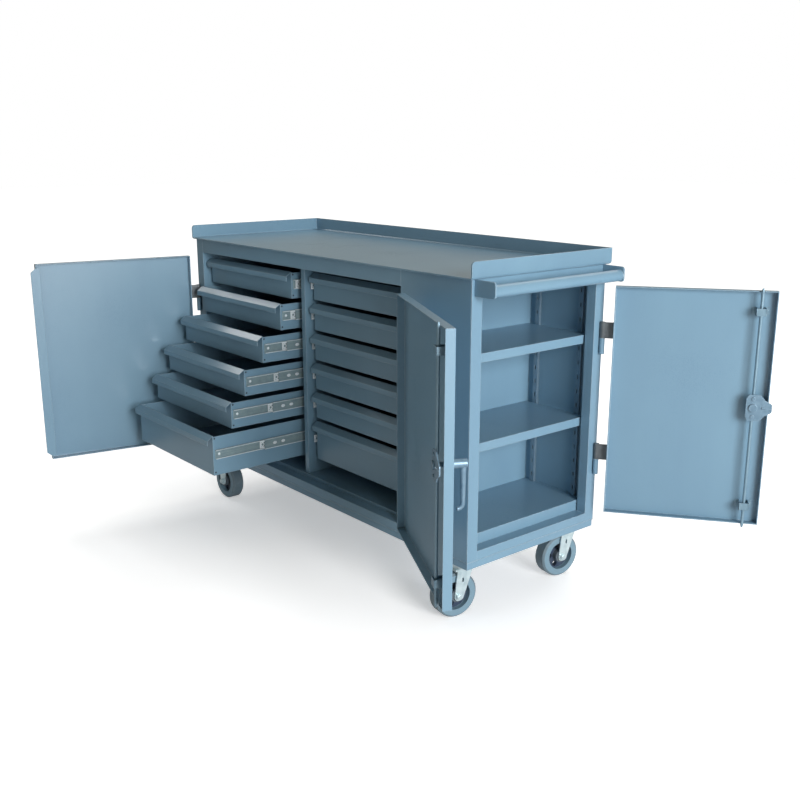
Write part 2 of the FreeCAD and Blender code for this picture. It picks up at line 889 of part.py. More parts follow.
ROD_GUIDES = [
    rod_guide("upper_rod_guide", "door_half - guide_inset"),
    rod_guide("lower_rod_guide", "guide_inset - door_half"),
]
CLOSING_STRIP = padded("closing_strip", "XZ", [
    ("strip_edge - strip_overlap", "strip_low"),
    ("strip_edge", "strip_low"),
    ("strip_edge + strip_reach", "strip_low + strip_chamfer"),
    ("strip_edge + strip_reach", "strip_high - strip_chamfer"),
    ("strip_edge", "strip_high"),
    ("strip_edge - strip_overlap", "strip_high"),
], "door_sheet", ("0", "door_back", "0"))
RIGHT_LATCH_X = "-(door_edge + front_door_width - latch_inset)"
END_LATCH_X = "-(end_door_edge + end_door_width - latch_inset)"
RIGHT_LATCH_AT = (RIGHT_LATCH_X, "0", "latch_height")
END_LATCH_AT = (END_LATCH_X, "0", "latch_height")
LEFT_HINGE_AT = ("left_pin_x", "front_pin_y", "0")
RIGHT_HINGE_AT = ("right_pin_x", "front_pin_y", "0")
END_HINGE_AT = ("end_pin_x", "end_pin_y", "0")
END_TURN = "90 + end_door_open"

LEFT_PAN = door_pan("left_door", 1, "door_edge", "front_door_width", False)
RIGHT_PAN = door_pan("right_door", -1, "door_edge", "front_door_width", True)
END_PAN = door_pan("end_door", -1, "end_door_edge", "end_door_width", True)
RIGHT_GUIDES = group("right_door_guides", ROD_GUIDES, (RIGHT_LATCH_X, "0", "door_middle"))
END_GUIDES = group("end_door_guides", ROD_GUIDES, (END_LATCH_X, "0", "door_middle"))
node("left_door", [LEFT_PAN, CLOSING_STRIP] + DOOR_LEAVES["left"], LEFT_HINGE_AT, "-left_door_open")
node("right_door", [RIGHT_PAN, RIGHT_GUIDES] + DOOR_LEAVES["right"], RIGHT_HINGE_AT, "right_door_open")
node("end_door", [END_PAN, END_GUIDES] + DOOR_LEAVES["end"], END_HINGE_AT, END_TURN)

# Latch: an outside lever on a spindle turns a cam with a tongue, which draws two rods.
# Drawn about the spindle, with the free edge of the door towards -x.

LEVER_START = "door_face - lever_standoff"
GRIP_BOTTOM = "-lever_length"
LEVER_AT = ("0", LEVER_START, "0")
GRIP_AT = ("0", "lever_line", GRIP_BOTTOM)
TO_FRONT = FreeCAD.Vector(0, -1, 0)
DOWN = FreeCAD.Vector(0, 0, -1)
ACROSS = FreeCAD.Vector(1, 0, 0)
CURL_AXES = FreeCAD.Rotation(TO_FRONT, DOWN, ACROSS, "XYZ")
CURL = doc.addObject("Part::Torus", "lever_curl_bend")
bind(CURL, "Radius1", "lever_curl")
bind(CURL, "Radius2", "lever_end_radius")
CURL.Angle3 = 90
place(CURL, ("0", "lever_line + lever_curl", GRIP_BOTTOM), CURL_AXES)
LEVER = joined("latch_lever", [
    rod("lever_spindle", "spindle_radius", "cam_face - (%s)" % LEVER_START, LEVER_AT, ALONG_Y),
    rod("lever_hub", "lever_hub_radius", "lever_standoff - lever_hub_air", LEVER_AT, ALONG_Y),
    taper("lever_grip", "lever_end_radius", "lever_top_radius", "lever_length", GRIP_AT),
    CURL,
])

CAM_PLATE = padded("cam_plate", "XZ", [
    ("spindle_radius + rivet_radius + spindle_radius", "-pivot_radius"),
    ("spindle_radius + rivet_radius", "-cam_half_height"),
    ("-pivot_radius + spindle_radius", "-cam_half_height"),
    ("-pivot_radius - rivet_radius", "-2*tongue_half_height"),
    ("-cam_tip", "-tongue_half_height"),
    ("-cam_tip", "tongue_half_height"),
    ("-pivot_radius - rivet_radius", "2*tongue_half_height"),
    ("-pivot_radius + spindle_radius", "cam_half_height"),
    ("spindle_radius + rivet_radius", "cam_half_height"),
    ("spindle_radius + rivet_radius + spindle_radius", "pivot_radius"),
], "cam_sheet", ("0", "cam_face", "0"))
softened(CAM_PLATE, "rivet_radius", lambda edge, box: runs_along(edge, "y"))
CAM_BACK = "cam_face + cam_sheet"
CAM = joined("latch_cam", [
    CAM_PLATE,
    taper("cam_ridge", "ridge_radius/2", "ridge_radius", "cam_tip - pivot_radius",
          ("-cam_tip + rivet_radius/2", CAM_BACK, "0"), ALONG_X),
    rod("cam_nut", "lever_hub_radius", "2*rivet_height", ("0", CAM_BACK, "0"), ALONG_Y),
    rod("cam_upper_rivet", "rivet_radius", "rivet_height", ("0", CAM_BACK, "pivot_radius"), ALONG_Y),
    rod("cam_lower_rivet", "rivet_radius", "rivet_height", ("0", CAM_BACK, "-pivot_radius"), ALONG_Y),
])
UPPER_ROD_END = "door_half - latch_rise + rod_reach - rod_taper"
LOWER_ROD_END = "door_half + latch_rise + rod_reach - rod_taper"
UPPER_ROD = joined("upper_rod", [
    rod("upper_rod_bar", "rod_radius", UPPER_ROD_END + " - pivot_radius",
        ("0", "rod_line", "pivot_radius")),
    taper("upper_rod_tip", "rod_radius", "rod_radius/2", "rod_taper",
          ("0", "rod_line", UPPER_ROD_END)),
])
LOWER_ROD = joined("lower_rod", [
    rod("lower_rod_bar", "rod_radius", LOWER_ROD_END + " - pivot_radius",
        ("0", "rod_line", "-(%s)" % LOWER_ROD_END)),
    taper("lower_rod_tip", "rod_radius/2", "rod_radius", "rod_taper",
          ("0", "rod_line", "-(%s) - rod_taper" % LOWER_ROD_END)),
])
for door, latch_at, hinge_at, turn in (
    ("right_door", RIGHT_LATCH_AT, RIGHT_HINGE_AT, "right_door_open"),
    ("end_door", END_LATCH_AT, END_HINGE_AT, END_TURN),
):
    for kind, pieces in (
        ("latch", [LEVER, CAM]),
        ("upper_rod", [UPPER_ROD]),
        ("lower_rod", [LOWER_ROD]),
    ):
        name = "%s_%s" % (door, kind)
        node(name, [group(name + "_set", pieces, latch_at)], hinge_at, turn)

# Drawer slides: a rail on the wall, a member that runs half way, a runner on the drawer.
# Drawn in the drawer's own frame: x from its left side, y from its front, z from its underside.


def channel(name, side, web, tip, height):
    wall = "-slide_width" if side < 0 else "drawer_width + slide_width"
    sign = " + " if side < 0 else " - "
    back = wall + sign + "(" + web + ")"
    inner = wall + sign + "(" + web + " + slide_sheet)"
    front = wall + sign + "(" + tip + ")"
    top = height + "/2"
    return padded(name, "XZ", [
        (back, "-" + top),
        (front, "-" + top),
        (front, "-" + top + " + slide_sheet"),
        (inner, "-" + top + " + slide_sheet"),
        (inner, top + " - slide_sheet"),
        (front, top + " - slide_sheet"),
        (front, top),
        (back, top),
    ], "slide_length", ("0", "slide_setback", "0"))


def runner(name, side):
    wall = "-slide_width" if side < 0 else "drawer_width + slide_width"
    sign = " + " if side < 0 else " - "
    back = "0" if side < 0 else "drawer_width"
    inner = wall + sign + "(slide_width - slide_sheet)"
    front = wall + sign + "(slide_width - runner_flange)"
    top = "runner_height/2"
    return padded(name, "XZ", [
        (back, "-" + top),
        (front, "-" + top),
        (front, "-" + top + " + slide_sheet"),
        (inner, "-" + top + " + slide_sheet"),
        (inner, top + " - slide_sheet"),
        (front, top + " - slide_sheet"),
        (front, top),
        (back, top),
    ], "slide_length", ("0", "slide_setback", "0"))


SLIDE_SIDES = (("left", -1), ("right", 1))
MEMBER_WEB = "slide_sheet + web_air"
MEMBER_TIP = MEMBER_WEB + " + member_flange"
RAILS = []
MEMBERS = []
RUNNERS = []
for side, sign in SLIDE_SIDES:
    RAILS.append(channel(side + "_rail", sign, "0", "rail_flange", "slide_height"))
    MEMBERS.append(channel(side + "_member", sign, MEMBER_WEB, MEMBER_TIP, "member_height"))
    RUNNERS.append(runner(side + "_runner", sign))

# Drawers: a folded tray, a front whose top is formed into a hooded pull, and two runners


def drawer_pieces(kind, height, rise):
    tray = cut(
        kind + "_tray",
        block(
            kind + "_tray_slab",
            ("0", "drawer_width"),
            ("drawer_sheet", "drawer_depth"),
            ("0", height + " - side_drop"),
        ),
        block(
            kind + "_tray_hollow",
            ("drawer_sheet", "drawer_width - drawer_sheet"),
            ("0", "drawer_depth - drawer_sheet"),
            ("drawer_sheet", height),
        ),
    )
    front = padded(kind + "_front", "YZ", [
        ("0", "0"),
        ("drawer_sheet", "0"),
        ("drawer_sheet", height),
        ("-pull_reach", height + " - pull_slope"),
        ("-pull_reach", height + " - pull_slope - pull_lip"),
        ("-pull_reach + drawer_sheet", height + " - pull_slope - pull_lip"),
        ("-pull_reach + drawer_sheet", height + " - pull_slope - drawer_sheet/2"),
        ("0", height + " - 3*drawer_sheet/2"),
    ], "drawer_width")
    return [tray, front, group(kind + "_runners", RUNNERS, ("0", "0", rise))]


SHALLOW_DRAWER = drawer_pieces("shallow", "drawer_height", "slide_rise")
DEEP_DRAWER = drawer_pieces("deep", "deep_drawer_height", "deep_slide_rise")
PULLED = ("pulled_one", "pulled_two", "pulled_three", "pulled_four", "pulled_five", "pulled_six")
ROWS = len(PULLED)
ALL_RAILS = []
for bank, bay in (("left", "left_bay"), ("right", "right_bay")):
    for row in range(ROWS):
        deep = row == ROWS - 1
        pieces = DEEP_DRAWER if deep else SHALLOW_DRAWER
        rise = "deep_slide_rise" if deep else "slide_rise"
        pulled = PULLED[row] if bank == "left" else "0"
        bottom = "stack_bottom"
        if not deep:
            bottom = "stack_bottom + deep_drawer_height + drawer_gap + %d*drawer_pitch" % (ROWS - 2 - row)
        side = bay + " + slide_width"
        name = "%s_drawer_%d" % (bank, row + 1)
        slide_level = bottom + " + " + rise
        node(name, pieces, (side, "drawer_face - " + pulled, bottom))
        node(name + "_slide", MEMBERS, (side, "drawer_face - %s/2" % pulled, slide_level))
        ALL_RAILS.append(group(name + "_rails", RAILS, (side, "drawer_face", slide_level)))
node("drawer_slide_rails", ALL_RAILS)

# Casters: drawn about the kingpin, with the axle along x; swivel forks trail towards -y


def leg(name, low, trail, top):
    plate = padded(name, "YZ", [
        (trail + " - leg_end_radius", "wheel_radius - leg_end_radius"),
        (trail + " + leg_end_radius", "wheel_radius - leg_end_radius"),
        ("leg_top_width/2", top),
        ("-leg_top_width/2", top),
    ], "leg_sheet", (low, "0", "0"))
    return softened(plate, "leg_end_radius*0.9", lambda edge, box: (
        runs_along(edge, "x") and at_level(edge, "z", box.ZMin)))


def axle(name, trail):
    shank_at = ("-leg_outer", trail, "wheel_radius")
    head_at = ("-leg_outer - axle_head", trail, "wheel_radius")
    nut_at = ("leg_outer", trail, "wheel_radius")
    return joined(name, [
        rod(name + "_shank", "axle_radius", "2*leg_outer + axle_head", shank_at, ALONG_X),
        rod(name + "_head", "axle_head_radius", "axle_head", head_at, ALONG_X),
        rod(name + "_nut", "axle_head_radius", "axle_head", nut_at, ALONG_X),
    ])


def axle_hole(name, trail):
    return rod(name, "axle_radius + axle_air", "2*leg_outer", ("-leg_outer", trail, "wheel_radius"), ALONG_X)


def leg_slot(name, trail, top):
    lean = "(%s)/(%s - wheel_radius + leg_end_radius)" % (trail, top)
    middle = "(%s - wheel_radius - leg_slot_rise)*%s" % (top, lean)
    across = ("%s - leg_slot_width/2" % middle, "%s + leg_slot_width/2" % middle)
    low = "wheel_radius + leg_slot_rise - leg_slot_length/2 + leg_slot_width/2"
    high = "wheel_radius + leg_slot_rise + leg_slot_length/2 - leg_slot_width/2"
    return joined(name, [
        rod(name + "_low", "leg_slot_width/2", "2*leg_outer", ("-leg_outer", middle, low), ALONG_X),
        rod(name + "_high", "leg_slot_width/2", "2*leg_outer", ("-leg_outer", middle, high), ALONG_X),
        block(name + "_run", ("-leg_outer", "leg_outer"), across, (low, high)),
    ])


TRAIL = "-caster_lead"
SWIVEL_BODY = joined("swivel_fork_welded", [
    leg("swivel_left_leg", "-leg_outer", TRAIL, "crown_top"),
    leg("swivel_right_leg", "leg_inner", TRAIL, "crown_top"),
    block(
        "swivel_crown",
        ("-leg_outer", "leg_outer"),
        ("-crown_radius", "crown_radius"),
        ("crown_bottom", "crown_top"),
    ),
    rod("swivel_lower_race", "race_radius", "race_height", ("0", "0", "crown_top")),
])
SWIVEL_BORED = cut("swivel_fork_bored", SWIVEL_BODY, axle_hole("swivel_axle_hole", TRAIL))
KINGPIN_HOLE = rod(
    "kingpin_hole",
    "kingpin_radius + pin_air",
    "fork_top - crown_bottom",
    ("0", "0", "crown_bottom"),
)
SWIVEL_SLOTTED = cut("swivel_fork_slotted", SWIVEL_BORED, leg_slot("swivel_leg_slot", TRAIL, "crown_top"))
SWIVEL_FORK = [cut("swivel_fork", SWIVEL_SLOTTED, KINGPIN_HOLE), axle("swivel_axle", TRAIL)]


def caster_plate(name, length, width):
    plate = padded(name, "XY", [
        ("-%s/2" % length, "-%s/2" % width),
        ("%s/2" % length, "-%s/2" % width),
        ("%s/2" % length, "%s/2" % width),
        ("-%s/2" % length, "%s/2" % width),
    ], "plate_sheet", ("0", "0", "plate_bottom"))
    return softened(plate, "plate_corner", lambda edge, box: runs_along(edge, "z"))


NUT_TOP = "crown_bottom - swivel_air"
SWIVEL_PLATE = joined("swivel_plate", [
    caster_plate("swivel_plate_sheet", "plate_length", "plate_width"),
    rod("swivel_upper_race", "race_radius", "race_height", ("0", "0", "race_bottom")),
    rod("kingpin", "kingpin_radius", "plate_bottom - (%s)" % NUT_TOP, ("0", "0", NUT_TOP)),
    rod("kingpin_nut", "kingpin_head_radius", "kingpin_head", ("0", "0", NUT_TOP + " - kingpin_head")),
])
RIGID_BODY = joined("rigid_fork_welded", [
    caster_plate("rigid_plate_sheet", "rigid_plate_width", "plate_length"),
    leg("rigid_left_leg", "-leg_outer", "0", "plate_bottom"),
    leg("rigid_right_leg", "leg_inner", "0", "plate_bottom"),
])
RIGID_BORED = cut("rigid_fork_bored", RIGID_BODY, axle_hole("rigid_axle_hole", "0"))
RIGID_FORK = [
    cut("rigid_fork", RIGID_BORED, leg_slot("rigid_leg_slot", "0", "plate_bottom")),
    axle("rigid_axle", "0"),
]
WEB_HALF = "wheel_width/2 - wheel_recess"
WHEEL_BLANK = turned("wheel_blank", [
    ("axle_radius + axle_air", "-hub_width/2"),
    ("hub_radius", "-hub_width/2"),
    ("hub_radius", "-(%s)" % WEB_HALF),
    ("wheel_radius - wheel_rim", "-(%s)" % WEB_HALF),
    ("wheel_radius - wheel_rim", "-wheel_width/2"),
    ("wheel_radius - wheel_round", "-wheel_width/2"),
    ("wheel_radius", "-wheel_width/2 + wheel_round"),
    ("wheel_radius", "wheel_width/2 - wheel_round"),
    ("wheel_radius - wheel_round", "wheel_width/2"),
    ("wheel_radius - wheel_rim", "wheel_width/2"),
    ("wheel_radius - wheel_rim", WEB_HALF),
    ("hub_radius", WEB_HALF),
    ("hub_radius", "hub_width/2"),
    ("axle_radius + axle_air", "hub_width/2"),
])
WINDOWS = 5
WINDOW_RODS = []
for number in range(WINDOWS):
    angle = 2*math.pi*(number + 0.5)/WINDOWS
    window_at = ("window_ring*%.9f" % math.cos(angle), "-wheel_width/2", "window_ring*%.9f" % math.sin(angle))
    window = rod("wheel_window_%d" % (number + 1), "window_radius", "wheel_width", window_at, ALONG_Y)
    WINDOW_RODS.append(window)
WHEEL = cut("caster_wheel", WHEEL_BLANK, joined("wheel_windows", WINDOW_RODS))
SWIVEL_WHEEL = group("swivel_wheel", [WHEEL], ("0", TRAIL, "wheel_radius"), QUARTER_TURN)
RIGID_WHEEL = group("rigid_wheel", [WHEEL], ("0", "0", "wheel_radius"))

SWIVEL_PLATES = []
RIGID_FORKS = []
for end, sign in (("front", "-"), ("rear", "")):
    swivel_at = ("caster_x", sign + "caster_y", "0")
    rigid_at = ("-rigid_x", sign + "rigid_y", "0")
    SWIVEL_PLATES.append(group(end + "_swivel_plate", [SWIVEL_PLATE], swivel_at))
    RIGID_FORKS.append(group(end + "_rigid_fork", RIGID_FORK, rigid_at, QUARTER_TURN))
    node(end + "_swivel_fork", SWIVEL_FORK, swivel_at, "swivel_turn")
    node(end + "_swivel_wheel", [SWIVEL_WHEEL], swivel_at, "swivel_turn")
    node(end + "_rigid_wheel", [RIGID_WHEEL], rigid_at)
node("swivel_caster_plates", SWIVEL_PLATES)
node("rigid_caster_forks", RIGID_FORKS)

# Build, test and write every sub-part

doc.recompute()
for item in doc.Objects:
    if "Invalid" in item.State or "Error" in item.State:
        raise RuntimeError("%s did not build" % item.Label)
for piece in NODES:
    if piece.Shape.isNull() or not piece.Shape.isValid():
        raise RuntimeError("%s has no valid shape" % piece.Label)

os.makedirs("parts", exist_ok=True)
for piece in NODES:
    piece.Shape.exportStep("parts/%s.step" % piece.Label)
print("%d sub-parts written" % len(NODES))
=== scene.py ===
import json
import math

import bmesh
import bpy
from mathutils import Matrix, Vector
from mathutils.bvhtree import BVHTree


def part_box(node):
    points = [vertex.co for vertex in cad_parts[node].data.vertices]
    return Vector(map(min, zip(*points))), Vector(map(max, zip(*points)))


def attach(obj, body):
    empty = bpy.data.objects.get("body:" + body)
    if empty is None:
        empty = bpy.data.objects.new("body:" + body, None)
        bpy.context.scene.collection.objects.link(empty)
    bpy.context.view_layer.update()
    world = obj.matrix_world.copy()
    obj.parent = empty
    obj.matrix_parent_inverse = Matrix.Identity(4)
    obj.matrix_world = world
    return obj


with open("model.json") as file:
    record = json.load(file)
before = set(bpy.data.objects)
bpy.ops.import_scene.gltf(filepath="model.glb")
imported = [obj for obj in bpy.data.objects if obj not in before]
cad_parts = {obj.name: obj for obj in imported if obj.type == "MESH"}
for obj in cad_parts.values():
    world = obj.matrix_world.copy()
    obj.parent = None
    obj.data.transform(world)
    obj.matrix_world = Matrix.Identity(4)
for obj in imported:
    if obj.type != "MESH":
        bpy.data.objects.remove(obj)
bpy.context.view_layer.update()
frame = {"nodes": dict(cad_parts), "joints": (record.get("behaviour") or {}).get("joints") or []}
nodes = frame["nodes"]
joints = {joint["name"]: joint for joint in frame["joints"]}
scene = bpy.context.scene
scene.view_settings.view_transform = "Standard"
topLow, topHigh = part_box("worktop")
cartMiddle = Vector(((topLow.x + topHigh.x) / 2, (topLow.y + topHigh.y) / 2, 0))
print("frame loaded with", len(nodes), "nodes")

# camera, measured from the middle of the cabinet on the floor
cameraLook = {
    "stand": (2.9092, -2.3009, 1.4960),
    "aim": (-0.74522, 0.61671, -0.25359),
    "lens": 44.71,
    "sensor": 36,
    "shift": (0.0006, 0.0019),
    "far": 100,
}
cameraData = bpy.data.cameras.new("photoCamera")
cameraData.lens = cameraLook["lens"]
cameraData.sensor_width = cameraLook["sensor"]
cameraData.shift_x, cameraData.shift_y = cameraLook["shift"]
cameraData.clip_end = cameraLook["far"]
cameraObject = bpy.data.objects.new("photoCamera", cameraData)
scene.collection.objects.link(cameraObject)
stand = Matrix.Translation(cartMiddle + Vector(cameraLook["stand"]))
aim = Vector(cameraLook["aim"]).to_track_quat("-Z", "Y").to_matrix().to_4x4()
cameraObject.matrix_world = stand @ aim
scene.camera = cameraObject
print("camera set")


# small helpers for node trees
def newMaterial(name):
    material = bpy.data.materials.new(name)
    material.use_nodes = True
    tree = material.node_tree
    return material, tree, tree.nodes["Principled BSDF"]


def addNode(tree, kind, settings=None, **sockets):
    made = tree.nodes.new(kind)
    for key, value in (settings or {}).items():
        setattr(made, key, value)
    for key, value in sockets.items():
        made.inputs[key].default_value = value
    return made


def feed(tree, socket, value):  # a number, colour or place is set, a node's output is linked
    if isinstance(value, bpy.types.NodeSocket):
        tree.links.new(value, socket)
    else:
        socket.default_value = value


def rgb(red, green, blue):  # colours are written as seen on screen, 0 to 255
    def straight(v):
        v = v / 255
        return v / 12.92 if v <= 0.04045 else ((v + 0.055) / 1.055) ** 2.4
    return (straight(red), straight(green), straight(blue), 1)


def objectPoint(tree):
    return addNode(tree, "ShaderNodeTexCoord").outputs["Object"]


def noise(tree, point, scale, detail=3, rough=0.5, stretch=None):
    if stretch is not None:
        squeezed = addNode(tree, "ShaderNodeMapping")
        squeezed.inputs["Scale"].default_value = stretch
        tree.links.new(point, squeezed.inputs["Vector"])
        point = squeezed.outputs["Vector"]
    made = addNode(tree, "ShaderNodeTexNoise", Scale=scale, Detail=detail, Roughness=rough)
    tree.links.new(point, made.inputs["Vector"])
    return made.outputs["Fac"]


def spread(tree, value, low, high, newLow, newHigh):  # map range, clamped
    made = addNode(tree, "ShaderNodeMapRange")
    for key, number in (("From Min", low), ("From Max", high), ("To Min", newLow), ("To Max", newHigh)):
        made.inputs[key].default_value = number
    tree.links.new(value, made.inputs["Value"])
    return made.outputs["Result"]


def sums(tree, how, first, second=0.0):
    made = addNode(tree, "ShaderNodeMath", {"operation": how})
    feed(tree, made.inputs[0], first)
    feed(tree, made.inputs[1], second)
    return made.outputs["Value"]


def blendColours(tree, share, first, second):
    made = addNode(tree, "ShaderNodeMix", {"data_type": "RGBA"})
    feed(tree, made.inputs[0], share)
    feed(tree, made.inputs[6], first)
    feed(tree, made.inputs[7], second)
    return made.outputs[2]


def blendValues(tree, share, first, second):
    made = addNode(tree, "ShaderNodeMix", {"data_type": "FLOAT"})
    feed(tree, made.inputs[0], share)
    feed(tree, made.inputs[2], first)
    feed(tree, made.inputs[3], second)
    return made.outputs[0]


def vectors(tree, how, first, second):
    made = addNode(tree, "ShaderNodeVectorMath", {"operation": how})
    feed(tree, made.inputs[0], first)
    feed(tree, made.inputs[1], second)
    return made


def along(tree, point, origin, way):  # how far a point lies from a place, along a direction
    step = vectors(tree, "SUBTRACT", point, tuple(origin)).outputs["Vector"]
    return vectors(tree, "DOT_PRODUCT", step, tuple(way)).outputs["Value"]


def around(tree, point, origin, axis):  # how far a point lies from an axis
    step = vectors(tree, "SUBTRACT", point, tuple(origin)).outputs["Vector"]
    cross = vectors(tree, "CROSS_PRODUCT", step, tuple(axis)).outputs["Vector"]
    made = addNode(tree, "ShaderNodeVectorMath", {"operation": "LENGTH"})
    tree.links.new(cross, made.inputs[0])
    return made.outputs["Value"]


edgeTurn = {"samples": 4, "rim": 0.78, "flat": 0.97}  # cosines between the rounded and the true normal


def softEdge(tree, radius):  # rounded normal, and a mask that is 1 along edges
    bevel = addNode(tree, "ShaderNodeBevel", {"samples": edgeTurn["samples"]}, Radius=radius)
    facing = addNode(tree, "ShaderNodeNewGeometry").outputs["True Normal"]
    compare = vectors(tree, "DOT_PRODUCT", bevel.outputs["Normal"], facing).outputs["Value"]
    return bevel.outputs["Normal"], spread(tree, compare, edgeTurn["rim"], edgeTurn["flat"], 1, 0)


def bumpFrom(tree, height, strength, distance, under=None):
    made = addNode(tree, "ShaderNodeBump", Strength=strength, Distance=distance)
    tree.links.new(height, made.inputs["Height"])
    if under is not None:
        tree.links.new(under, made.inputs["Normal"])
    return made.outputs["Normal"]


def finishShader(tree, shader, colour, gloss, normal, metal):
    feed(tree, shader.inputs["Base Color"], colour)
    feed(tree, shader.inputs["Roughness"], gloss)
    feed(tree, shader.inputs["Normal"], normal)
    feed(tree, shader.inputs["Metallic"], metal)


# painted sheet steel: blue-grey enamel with orange peel, faint runs, and edges painted lighter, partly
# rubbed wear and partly a painted highlight
paint = {
    "colour": rgb(118, 152, 173),
    "shade": rgb(113, 146, 168),
    "worn": rgb(192, 212, 222),
    "roughness": (0.27, 0.34),
    "edge": 0.0030,
    "clouds": 2.3,
    "runs": 6.0,
    "runShape": (1, 1, 0.16),
    "tone": (0.75, 1.25),
    "grime": 34.0,
    "chips": (0.42, 0.64, 0.5, 0.95),
    "fine": 620.0,
    "sheen": (0.7, 1.3),
    "peel": (0.035, 0.0004),
}


def paintNodes(tree, point, look):
    cloudy = noise(tree, point, look["clouds"], detail=4)
    runs = noise(tree, point, look["runs"], rough=0.55, stretch=look["runShape"])
    grime = noise(tree, point, look["grime"], detail=6, rough=0.65)
    tone = spread(tree, sums(tree, "ADD", cloudy, runs), *look["tone"], 0, 1)
    colour = blendColours(tree, tone, look["shade"], look["colour"])
    rounded, edge = softEdge(tree, look["edge"])
    chips = spread(tree, grime, *look["chips"])
    # edges lighter in patches: partly rubbed wear, partly a painted highlight along the rounded edges
    colour = blendColours(tree, sums(tree, "MULTIPLY", edge, chips), colour, look["worn"])
    fine = noise(tree, point, look["fine"], detail=2, rough=0.4)
    gloss = spread(tree, sums(tree, "ADD", fine, cloudy), *look["sheen"], *look["roughness"])
    peel = bumpFrom(tree, fine, *look["peel"], rounded)
    return colour, gloss, peel


# plated steel, bright or dark: fine rolling marks, cloudy spots, and edges painted lighter, partly
# rubbed wear and partly a painted highlight
zinc = {
    "bright": rgb(202, 214, 216),
    "dull": rgb(176, 190, 194),
    "rubbed": rgb(236, 242, 242),
    "roughness": (0.28, 0.42),
    "marks": (260, 6, 260),
    "spots": 55.0,
    "blend": (0.7, 1.3),
    "sheen": (0.3, 0.7),
    "scratch": (0.05, 0.0002),
    "edge": 0.0010,
    "metal": 0.6,
    "rubbedMetal": 0.4,
}
runnerZinc = dict(
    zinc, bright=rgb(144, 165, 170), dull=rgb(124, 146, 154), rubbed=rgb(160, 180, 186), metal=0.2,
)
# near-white, barely metallic plating for screws, cages, lips, ovals and web edges: plated colour with a
# painted highlight
glintZinc = dict(
    zinc, bright=rgb(236, 245, 250), dull=rgb(222, 234, 240), rubbed=rgb(250, 253, 255), metal=0.2,
)
forkZinc = dict(
    zinc, bright=rgb(214, 230, 234), dull=rgb(184, 204, 210), marks=(60, 60, 14), edge=0.0012,
)
leverZinc = dict(
    zinc, bright=rgb(124, 151, 170), dull=rgb(102, 131, 152), rubbed=rgb(166, 188, 202),
    marks=(90, 90, 90), edge=0.0016, metal=0.4,
)
rodSteel = dict(
    zinc, bright=rgb(130, 158, 174), dull=rgb(112, 142, 160), rubbed=rgb(168, 190, 204),
    marks=(200, 200, 5), metal=0.3,
)
standardZinc = dict(
    zinc, bright=rgb(128, 152, 168), dull=rgb(108, 134, 152), rubbed=rgb(160, 182, 196),
    marks=(200, 200, 5), metal=0.3,
)
strapSteel = dict(
    zinc, bright=rgb(118, 124, 128), dull=rgb(88, 94, 98), rubbed=rgb(150, 156, 160),
    marks=(120, 120, 9), roughness=(0.36, 0.52),
)
# near-black steel for the rivets: painted shade standing for the shadowed holes at the rivets
paintedShadeSteel = dict(
    zinc, bright=rgb(62, 70, 78), dull=rgb(40, 46, 52), rubbed=rgb(84, 92, 98),
    marks=(300, 300, 300), roughness=(0.4, 0.55),
)


def zincNodes(tree, point, look):
    rolled = noise(tree, point, 1.0, stretch=look["marks"])
    spots = noise(tree, point, look["spots"], detail=4, rough=0.55)
    share = spread(tree, sums(tree, "ADD", rolled, spots), *look["blend"], 0, 1)
    colour = blendColours(tree, share, look["dull"], look["bright"])
    rounded, edge = softEdge(tree, look["edge"])
    # edges lighter and less metallic: partly rubbed wear, partly a painted highlight
    colour = blendColours(tree, edge, colour, look["rubbed"])
    gloss = spread(tree, spots, *look["sheen"], *look["roughness"])
    scratch = bumpFrom(tree, rolled, *look["scratch"], rounded)
    metal = spread(tree, edge, 0, 1, look["metal"], look["metal"] * look["rubbedMetal"])
    return colour, gloss, scratch, metal


def makePaint(name, look):
    material, tree, shader = newMaterial(name)
    finishShader(tree, shader, *paintNodes(tree, objectPoint(tree), look), 0.0)
    return material


def makeZinc(name, look):
    material, tree, shader = newMaterial(name)
    finishShader(tree, shader, *zincNodes(tree, objectPoint(tree), look))
    return material


def makePartly(name, maskOf, bare):  # paint, with bare or plated metal where the mask is 1
    material, tree, shader = newMaterial(name)
    point = objectPoint(tree)
    mask = maskOf(tree, point)
    colour, gloss, normal = paintNodes(tree, point, paint)
    bareColour, bareGloss, _, metal = zincNodes(tree, point, bare)
    finishShader(
        tree, shader,
        blendColours(tree, mask, colour, bareColour),
        blendValues(tree, mask, gloss, bareGloss),
        normal,
        sums(tree, "MULTIPLY", mask, metal),
    )
    return material


sheetPaint = makePaint("sheetPaint", paint)
slidePlate = makeZinc("slidePlate", runnerZinc)
ballPlate = makeZinc("ballPlate", glintZinc)
standardPlate = makeZinc("standardPlate", standardZinc)
forkPlate = makeZinc("forkPlate", forkZinc)
leverPlate = makeZinc("leverPlate", leverZinc)
rodPlate = makeZinc("rodPlate", rodSteel)
darkBolt = makeZinc("darkBolt", paintedShadeSteel)

# drawers: painted trays with plated runners outside both sides
runnerFace = {"proud": 0.008, "slack": 0.0003}
banks = {bank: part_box(bank + "_drawer_1") for bank in ("left", "right")}


def runnerMask(tree, point):
    nearest = None
    for low, high in banks.values():
        half = (high.x - low.x) / 2
        away = sums(tree, "ABSOLUTE", along(tree, point, ((low.x + high.x) / 2, 0, 0), (1, 0, 0)))
        beyond = sums(tree, "SUBTRACT", away, half - runnerFace["proud"] + runnerFace["slack"])
        nearest = beyond if nearest is None else sums(tree, "MINIMUM", nearest, beyond)
    return sums(tree, "GREATER_THAN", nearest, 0.0)


drawerPaint = makePartly("drawerPaint", runnerMask, runnerZinc)

